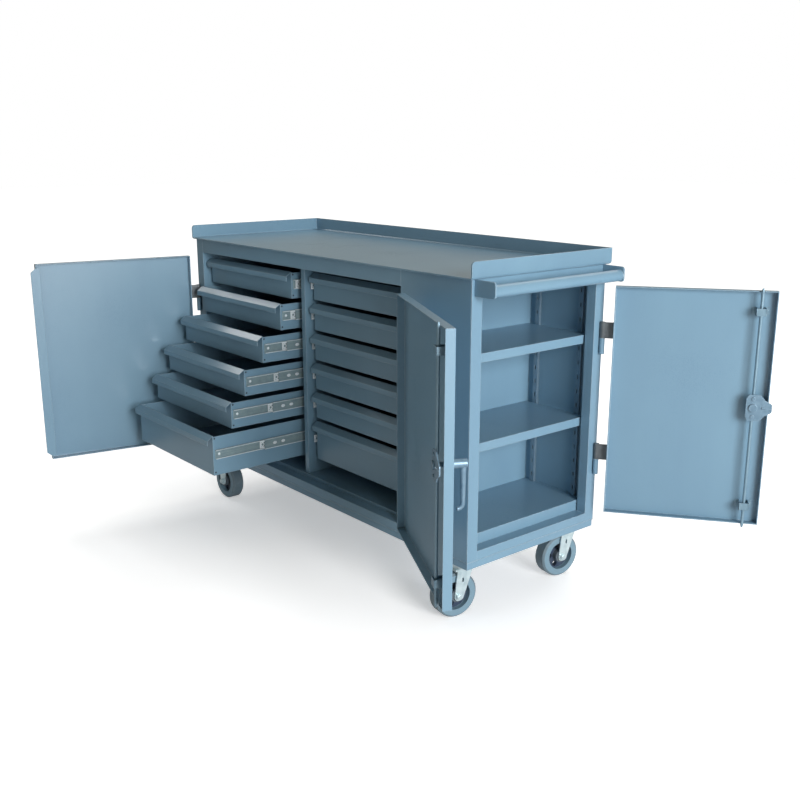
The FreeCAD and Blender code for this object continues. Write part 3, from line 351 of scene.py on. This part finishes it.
# doors: painted pans with dark steel hinge straps between the pin and the pan's edge
strapReach = {"left": 0.0395, "right": 0.0395, "end": 0.0355}
doorTurn = {}
for door, quarter in (("left", 0), ("right", 0), ("end", 90)):
    shut = 180 - joints[door + "_door_hinge"]["range_deg"][1]
    doorTurn[door] = math.radians(-shut if door == "left" else shut + quarter)


def doorWay(door):
    sign = 1 if door == "left" else -1
    return Vector((sign * math.cos(doorTurn[door]), sign * math.sin(doorTurn[door]), 0))


def strapMaskOf(door):
    def strapMask(tree, point):
        out = along(tree, point, joints[door + "_door_hinge"]["pos_m"], doorWay(door))
        return sums(tree, "LESS_THAN", out, strapReach[door])
    return strapMask


doorPaint = {door: makePartly(door + "DoorPaint", strapMaskOf(door), strapSteel) for door in strapReach}

# wheels: moulded, with a hub, a sunk web painted dark as painted shade in the recess, a blue-grey rim
# and a scuffed tread
wheelLook = {
    "hub": rgb(86, 96, 104),
    # dark navy web: painted shade in the sunk recess
    "web": rgb(48, 62, 84),
    "rim": rgb(112, 140, 156),
    "tread": rgb(104, 122, 132),
    "dust": rgb(132, 146, 152),
    "hubEdge": 0.0225,
    "webEdge": 0.0488,
    "treadEdge": 0.0700,
    "blur": 0.0003,
    "roughness": (0.34, 0.55),
    "sheen": (0.3, 0.7),
    "scuffs": 48.0,
    "dusty": (0.52, 0.68, 0, 0.6),
    "dustReach": (0.06, 0.074, 0.15, 1),
    "edge": 0.0015,
    "grain": 420.0,
    "grainBump": (0.08, 0.0004),
}


def makeWheel(name):
    joint = joints[name + "_spin"]
    material, tree, shader = newMaterial(name + "Moulded")
    point = objectPoint(tree)
    radius = around(tree, point, joint["pos_m"], joint["axis"])
    colour = wheelLook["hub"]
    for line, band in (("hubEdge", "web"), ("webEdge", "rim"), ("treadEdge", "tread")):
        near, far = wheelLook[line] - wheelLook["blur"], wheelLook[line] + wheelLook["blur"]
        colour = blendColours(tree, spread(tree, radius, near, far, 0, 1), colour, wheelLook[band])
    scuffs = noise(tree, point, wheelLook["scuffs"], detail=6, rough=0.65)
    dusty = sums(
        tree, "MULTIPLY",
        spread(tree, scuffs, *wheelLook["dusty"]),
        spread(tree, radius, *wheelLook["dustReach"]),
    )
    colour = blendColours(tree, dusty, colour, wheelLook["dust"])
    rounded = softEdge(tree, wheelLook["edge"])[0]
    grain = noise(tree, point, wheelLook["grain"], detail=2)
    gloss = spread(tree, scuffs, *wheelLook["sheen"], *wheelLook["roughness"])
    bumped = bumpFrom(tree, grain, *wheelLook["grainBump"], rounded)
    finishShader(tree, shader, colour, gloss, bumped, 0.0)
    return material


# finishes on the carried-over nodes
for name, node in nodes.items():
    finish = sheetPaint
    if name.endswith("_slide") or name == "drawer_slide_rails":
        finish = slidePlate
    elif name == "shelf_standards":
        finish = standardPlate
    elif "_drawer_" in name:
        finish = drawerPaint
    elif name.endswith("_wheel"):
        finish = makeWheel(name)
    elif name.endswith("_fork") or name.endswith("_forks") or name == "swivel_caster_plates":
        finish = forkPlate
    elif name.endswith("_latch"):
        finish = leverPlate
    elif name.endswith("_rod"):
        finish = rodPlate
    elif name.endswith("_door"):
        finish = doorPaint[name.split("_")[0]]
    node.data.materials.clear()
    node.data.materials.append(finish)
print("nodes finished")

# lamps, world and floor
studio = {
    "side": {"at": (8.0, -1.4, 2.5), "aim": (0, 0, 0.6), "size": 3.5, "power": 690},
    "pulls": {"at": (-3.0, -0.5, 3.0), "aim": (-0.3, -0.6, 0.8), "size": 1.1, "power": 24},
    "over": {"at": (-0.6, 2.6, 4.4), "aim": (0, 0, 0.5), "size": 4.0, "power": 86},
}
for name, lamp in studio.items():
    data = bpy.data.lights.new(name + "Lamp", "AREA")
    data.energy = lamp["power"]
    data.size = lamp["size"]
    data.shape = "SQUARE"
    holder = bpy.data.objects.new(name + "Lamp", data)
    scene.collection.objects.link(holder)
    spot = cartMiddle + Vector(lamp["at"])
    heading = (cartMiddle + Vector(lamp["aim"]) - spot).to_track_quat("-Z", "Y")
    holder.matrix_world = Matrix.Translation(spot) @ heading.to_matrix().to_4x4()

backdrop = {
    "light": 0.13,
    "seen": 1.0,
    "gloss": 0.30,
    "tint": rgb(255, 248, 228),
    "floor": rgb(248, 248, 249),
    "floorHalf": 30,
    "floorCells": 4,
    "floorRoughness": 0.9,
    "lift": (0.58, 1.0),
    "fade": (1.6, 4.0),
    "near": 0.55,
    "nearSamples": 8,
    "dim": (0.45, 0.95, 0.68, 1.0),
}
white = (1, 1, 1, 1)
world = bpy.data.worlds.new("studioWorld")
scene.world = world
world.use_nodes = True
worldTree = world.node_tree
worldShade = worldTree.nodes["Background"]
rays = addNode(worldTree, "ShaderNodeLightPath")
shown = sums(worldTree, "MAXIMUM", rays.outputs["Is Camera Ray"], rays.outputs["Is Transmission Ray"])
glossy = sums(worldTree, "MULTIPLY", rays.outputs["Is Glossy Ray"], backdrop["gloss"])
seen = sums(worldTree, "MAXIMUM", shown, glossy)
strength = spread(worldTree, seen, 0, 1, backdrop["light"], backdrop["seen"])
worldTree.links.new(strength, worldShade.inputs["Strength"])
worldTree.links.new(blendColours(worldTree, shown, backdrop["tint"], white), worldShade.inputs["Color"])

floorMesh = bmesh.new()
cells = backdrop["floorCells"]
bmesh.ops.create_grid(floorMesh, x_segments=cells, y_segments=cells, size=backdrop["floorHalf"])
floorData = bpy.data.meshes.new("studioFloor")
floorMesh.to_mesh(floorData)
floorMesh.free()
floorObject = bpy.data.objects.new("studioFloor", floorData)
scene.collection.objects.link(floorObject)
floorPaper, floorTree, floorShader = newMaterial("floorPaper")
floorShader.inputs["Base Color"].default_value = backdrop["floor"]
floorShader.inputs["Roughness"].default_value = backdrop["floorRoughness"]
floorRays = addNode(floorTree, "ShaderNodeLightPath")
floorShader.inputs["Emission Color"].default_value = white
reach = addNode(floorTree, "ShaderNodeVectorMath", {"operation": "LENGTH"})
floorTree.links.new(objectPoint(floorTree), reach.inputs[0])
# floor glow for the camera is lower near the cart than far out, so the floor reads darker around it:
# painted shade
lift = spread(floorTree, reach.outputs["Value"], *backdrop["fade"], *backdrop["lift"])
# glow dimmed further by ambient occlusion under and beside the cart: a painted soft shadow
contactShadowAO = addNode(
    floorTree, "ShaderNodeAmbientOcclusion",
    {"samples": backdrop["nearSamples"]}, Distance=backdrop["near"],
)
lift = sums(floorTree, "MULTIPLY", lift, spread(floorTree, contactShadowAO.outputs["AO"], *backdrop["dim"]))
floorTree.links.new(
    sums(floorTree, "MULTIPLY", floorRays.outputs["Is Camera Ray"], lift),
    floorShader.inputs["Emission Strength"],
)
floorData.materials.append(floorPaper)
print("studio lit")


# small pieces, drawn in the cart's frame and carried by its bodies
shaping = {"weld": 1e-7, "level": 1e-5, "hexBreak": 0.07, "rayStart": 0.1}


def turnTo(at, way):  # a place and heading for a shape drawn along z
    return Matrix.Translation(at) @ Vector(way).to_track_quat("Z", "Y").to_matrix().to_4x4()


def addTurned(mesh, profile, steps, at, way, longer=1):  # (radius, height) pairs spun about an axis
    old = set(mesh.verts)
    line = [mesh.verts.new((radius, 0, height)) for radius, height in profile]
    edges = [mesh.edges.new(pair) for pair in zip(line, line[1:])]
    bmesh.ops.spin(
        mesh, geom=line + edges, cent=(0, 0, 0), axis=(0, 0, 1),
        angle=2 * math.pi, steps=steps, use_merge=True,
    )
    made = [vert for vert in mesh.verts if vert not in old]
    bmesh.ops.remove_doubles(mesh, verts=made, dist=shaping["weld"])
    made = [vert for vert in mesh.verts if vert not in old]
    bmesh.ops.transform(mesh, matrix=turnTo(at, way) @ Matrix.Diagonal((longer, 1, 1, 1)), verts=made)


def addHex(mesh, across, height, at, way):  # hexagon head standing on a face, its top edges broken
    lifted = Vector(at) + Vector(way) * (height / 2)
    radius = across / math.sqrt(3)
    made = bmesh.ops.create_cone(
        mesh, cap_ends=True, cap_tris=False, segments=6,
        radius1=radius, radius2=radius, depth=height, matrix=turnTo(lifted, way),
    )["verts"]
    far = max(vert.co.dot(Vector(way)) for vert in made)
    top = [vert for vert in made if vert.co.dot(Vector(way)) > far - shaping["level"]]
    edges = {edge for vert in top for edge in vert.link_edges if edge.other_vert(vert) in top}
    bmesh.ops.bevel(
        mesh, geom=list(edges), offset=across * shaping["hexBreak"], offset_type="OFFSET",
        affect="EDGES", segments=2, profile=0.5, material=-1,
    )


def addStrip(mesh, one, other, ease, place=Matrix()):  # small bar with eased edges between two corners
    size = [abs(a - b) for a, b in zip(one, other)]
    middle = (Vector(one) + Vector(other)) / 2
    made = bmesh.ops.create_cube(
        mesh, size=1, matrix=place @ Matrix.Translation(middle) @ Matrix.Diagonal((*size, 1)),
    )["verts"]
    edges = list({edge for vert in made for edge in vert.link_edges})
    bmesh.ops.bevel(
        mesh, geom=edges, offset=ease, offset_type="OFFSET",
        affect="EDGES", segments=1, profile=0.5, material=-1,
    )


def newPiece(name, mesh, body, finish):
    bmesh.ops.recalc_face_normals(mesh, faces=mesh.faces)
    data = bpy.data.meshes.new(name)
    mesh.to_mesh(data)
    mesh.free()
    data.materials.append(finish)
    piece = bpy.data.objects.new(name, data)
    scene.collection.objects.link(piece)
    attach(piece, body)


def skinOf(name):
    data = nodes[name].data
    corners = [vert.co for vert in data.vertices]
    return BVHTree.FromPolygons(corners, [face.vertices for face in data.polygons])


def surface(skin, start, way):  # first place that a line from outside meets a node
    return skin.ray_cast(Vector(start), Vector(way))[0]


dome = ((0, 1), (0.55, 0.86), (0.9, 0.45), (1, 0), (0, 0))  # shares of radius and height, crown to rim


def domeOf(radius, height):  # half outline of a rounded head
    return [(radius * wide, height * tall) for wide, tall in dome]


# drawers: rivets down the front edge of each side, near-black as painted shade in their holes; screws
# in the runners and lips along them, near-white as painted highlights
drawerFixings = {
    "front": 0.022,
    "sides": 0.008,
    "rivet": (0.0036, 0.0009),
    "rivetBack": 0.0080,
    "rivetEdge": 0.011,
    "screw": (0.0052, 0.0016),
    "screwsBack": (0.024, 0.300),
    "steps": 10,
    "lipDeep": (0.0068, 0.0087),
    "lipRise": (0.0147, 0.0172),
    "lipStart": 0.008,
    "lipLength": 0.456,
    "lipEase": 0.0005,
}
# slide members: ball cages ahead of the front ends, web edges and pressed ovals, all near-white as
# painted highlights over the plated colour
slideParts = {
    "reach": 0.018,
    "deep": (0.0032, 0.0058),
    "rail": (0.0092, 0.0142),
    "bar": 0.005,
    "ease": 0.0006,
    "ballRadius": 0.0026,
    "balls": 5,
    "ballStart": 0.003,
    "ballPitch": 0.0065,
    "ring": (0.0048, 0.0086),
    "ringHeight": 0.0016,
    "ringBack": 0.012,
    "ringSteps": 14,
    "webDeep": (0.0100, 0.0110),
    "webRise": (0.0168, 0.0190),
    "webEase": 0.0001,
    "oval": (0.0058, 0.0002),
    "ovalsBack": (0.045, 0.082),
    "ovalLonger": 1.5,
    "ovalSteps": 12,
}


def addFixings(rivets, screws, skin, low, high, side, way, level):
    outward = (-way, 0, 0)
    start = side - shaping["rayStart"] * way
    front = low.y + drawerFixings["front"]
    for z in (low.z + drawerFixings["rivetEdge"], high.z - drawerFixings["rivetEdge"]):
        spot = surface(skin, (start, front + drawerFixings["rivetBack"], z), (way, 0, 0))
        addTurned(rivets, domeOf(*drawerFixings["rivet"]), drawerFixings["steps"], spot, outward)
    for back in drawerFixings["screwsBack"]:
        spot = surface(skin, (start, front + back, level), (way, 0, 0))
        addTurned(screws, domeOf(*drawerFixings["screw"]), drawerFixings["steps"], spot, outward)
    near, far = (side - way * deep for deep in drawerFixings["lipDeep"])
    lipFront = front + drawerFixings["lipStart"]
    lipBack = lipFront + drawerFixings["lipLength"]
    for sign in (1, -1):
        inner, rim = (level + sign * rise for rise in drawerFixings["lipRise"])
        # near-white lips above and below the runner: painted highlight lines
        addStrip(screws, (near, lipFront, inner), (far, lipBack, rim), drawerFixings["lipEase"])


def addCage(cages, side, way, level, front):
    near, far = (side - way * deep for deep in slideParts["deep"])
    start, end = front - slideParts["reach"], front + slideParts["reach"]
    for sign in (1, -1):
        inner, rim = (level + sign * rise for rise in slideParts["rail"])
        addStrip(cages, (near, start, inner), (far, end, rim), slideParts["ease"])
        for place in range(slideParts["balls"]):
            y = start + slideParts["ballStart"] + place * slideParts["ballPitch"]
            ball = Matrix.Translation(((near + far) / 2, y, (inner + rim) / 2))
            bmesh.ops.create_icosphere(
                cages, subdivisions=1, radius=slideParts["ballRadius"], matrix=ball,
            )
    half = slideParts["rail"][0]
    barEnd = start + slideParts["bar"]
    addStrip(cages, (near, start, level - half), (far, barEnd, level + half), slideParts["ease"])
    small, large = slideParts["ring"]
    tall = slideParts["ringHeight"]
    ring = [(small, 0.0), (large, 0.0), (large, tall), (small, tall), (small, 0.0)]
    middle = (near, start + slideParts["ringBack"], level)
    addTurned(cages, ring, slideParts["ringSteps"], middle, (-way, 0, 0))


def addWebMarks(ovals, skin, front, rear, side, way, level):
    near, far = (side - way * deep for deep in slideParts["webDeep"])
    for sign in (1, -1):
        inner, rim = (level + sign * rise for rise in slideParts["webRise"])
        addStrip(ovals, (near, front, inner), (far, rear, rim), slideParts["webEase"])
    start = side - shaping["rayStart"] * way
    oval = domeOf(*slideParts["oval"])
    for back in slideParts["ovalsBack"]:
        spot = surface(skin, (start, front + back, level), (way, 0, 0))
        addTurned(ovals, oval, slideParts["ovalSteps"], spot, (-way, 0, 0), slideParts["ovalLonger"])


for bank in ("left", "right"):
    for number in range(1, 7):
        name = "%s_drawer_%d" % (bank, number)
        low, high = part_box(name)
        slideLow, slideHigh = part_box(name + "_slide")
        level = (slideLow.z + slideHigh.z) / 2
        traySkin, slideSkin = skinOf(name), skinOf(name + "_slide")
        rivets, screws, cages, ovals = (bmesh.new() for _ in range(4))
        for outer, way in ((low.x, 1), (high.x, -1)):
            side = outer + drawerFixings["sides"] * way
            addFixings(rivets, screws, traySkin, low, high, side, way, level)
            addCage(cages, side, way, level, slideLow.y)
            addWebMarks(ovals, slideSkin, slideLow.y, slideHigh.y, side, way, level)
        newPiece(name + ".rivets", rivets, name, darkBolt)
        newPiece(name + ".screws", screws, name, ballPlate)
        newPiece(name + ".cages", cages, name + "_slide", ballPlate)
        newPiece(name + ".ovals", ovals, name + "_slide", ballPlate)
print("drawer details made")

# doors: strap brackets over the rod guides, screwed to the pans
rodStraps = {
    "inset": 0.065,
    "half": 0.012,
    "foot": (0.0140, 0.0265),
    "footThick": 0.0024,
    "wall": (0.0132, 0.0156),
    "over": 0.0006,
    "thick": 0.0024,
    "ease": 0.0006,
    "screw": (0.0034, 0.0013),
    "screwOut": 0.0212,
    "steps": 10,
}
for door in ("right", "end"):
    low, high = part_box(door + "_door")
    out = doorWay(door)
    inward = Vector((out.y, -out.x, 0))
    skin, straps = skinOf(door + "_door"), bmesh.new()
    for rod, z in (("upper", high.z - rodStraps["inset"]), ("lower", low.z + rodStraps["inset"])):
        rodLow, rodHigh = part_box("%s_door_%s_rod" % (door, rod))
        middle = Vector(((rodLow.x + rodHigh.x) / 2, (rodLow.y + rodHigh.y) / 2, z))
        start = middle + inward * shaping["rayStart"]
        crown = surface(skin, start, -inward)
        ground = surface(skin, start + out * rodStraps["foot"][1], -inward)
        rise = (crown - ground).dot(inward)
        base = middle + inward * (ground - middle).dot(inward)
        place = Matrix.Translation(base) @ Matrix((out, (0, 0, 1), inward)).transposed().to_4x4()
        half, ease = rodStraps["half"], rodStraps["ease"]
        top = rise + rodStraps["over"]
        for sign in (1, -1):
            heel, toe = (sign * reach for reach in rodStraps["foot"])
            inside, outside = (sign * reach for reach in rodStraps["wall"])
            addStrip(straps, (heel, -half, 0), (toe, half, rodStraps["footThick"]), ease, place)
            addStrip(straps, (inside, -half, 0), (outside, half, top), ease, place)
            spot = place @ Vector((sign * rodStraps["screwOut"], 0, rodStraps["footThick"]))
            addTurned(straps, domeOf(*rodStraps["screw"]), rodStraps["steps"], spot, inward)
        edge = rodStraps["wall"][1]
        addStrip(straps, (-edge, -half, top - rodStraps["thick"]), (edge, half, top), ease, place)
    newPiece(door + "_door.straps", straps, door + "_door", rodPlate)
print("rod straps made")

# cabinet: screws that hold the slide rails to the mullion
railScrews = {"head": (0.0040, 0.0016), "inset": 0.012, "steps": 10}
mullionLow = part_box("center_mullion")[0]
mullionSkin, screws = skinOf("center_mullion"), bmesh.new()
for number in range(1, 7):
    slideLow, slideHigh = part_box("left_drawer_%d_slide" % number)
    level = (slideLow.z + slideHigh.z) / 2
    start = (mullionLow.x + railScrews["inset"], mullionLow.y - shaping["rayStart"], level)
    spot = surface(mullionSkin, start, (0, 1, 0))
    addTurned(screws, domeOf(*railScrews["head"]), railScrews["steps"], spot, (0, -1, 0))
newPiece("railScrews", screws, "cabinet", ballPlate)
print("rail screws made")

# casters: plate bolts under the base and hexagon nuts on the axles
casterBolts = {
    "across": 0.014,
    "height": 0.0055,
    "swivel": (0.043, 0.037),
    "rigid": (0.045, 0.027),
    "nutAcross": 0.0165,
    "nutHeight": 0.004,
}
plateSkin, forkSkin, bolts = skinOf("swivel_caster_plates"), skinOf("rigid_caster_forks"), bmesh.new()
mounts = (("swivel", "_swivel", plateSkin), ("rigid", "_rigid_wheel_spin", forkSkin))
corners = [(sx, sy) for sx in (1, -1) for sy in (1, -1)]
for end in ("front", "rear"):
    for kind, joint, skin in mounts:
        middle = Vector(joints[end + joint]["pos_m"])
        for sx, sy in corners:
            x, y = middle.x + sx * casterBolts[kind][0], middle.y + sy * casterBolts[kind][1]
            spot = surface(skin, (x, y, 0), (0, 0, 1))
            addHex(bolts, casterBolts["across"], casterBolts["height"], spot, (0, 0, -1))
    for kind, body in (("swivel", end + "_swivel_fork"), ("rigid", "cabinet")):
        joint = joints[end + "_" + kind + "_wheel_spin"]
        axis, middle, nuts = Vector(joint["axis"]), Vector(joint["pos_m"]), bmesh.new()
        skin = skinOf(body) if kind == "swivel" else forkSkin
        for sign in (1, -1):
            spot = surface(skin, middle + axis * sign * shaping["rayStart"], axis * -sign)
            addHex(nuts, casterBolts["nutAcross"], casterBolts["nutHeight"], spot, axis * sign)
        newPiece(end + "_" + kind + ".axleNuts", nuts, body, forkPlate)
newPiece("casterBolts", bolts, "cabinet", forkPlate)
print("caster details made")
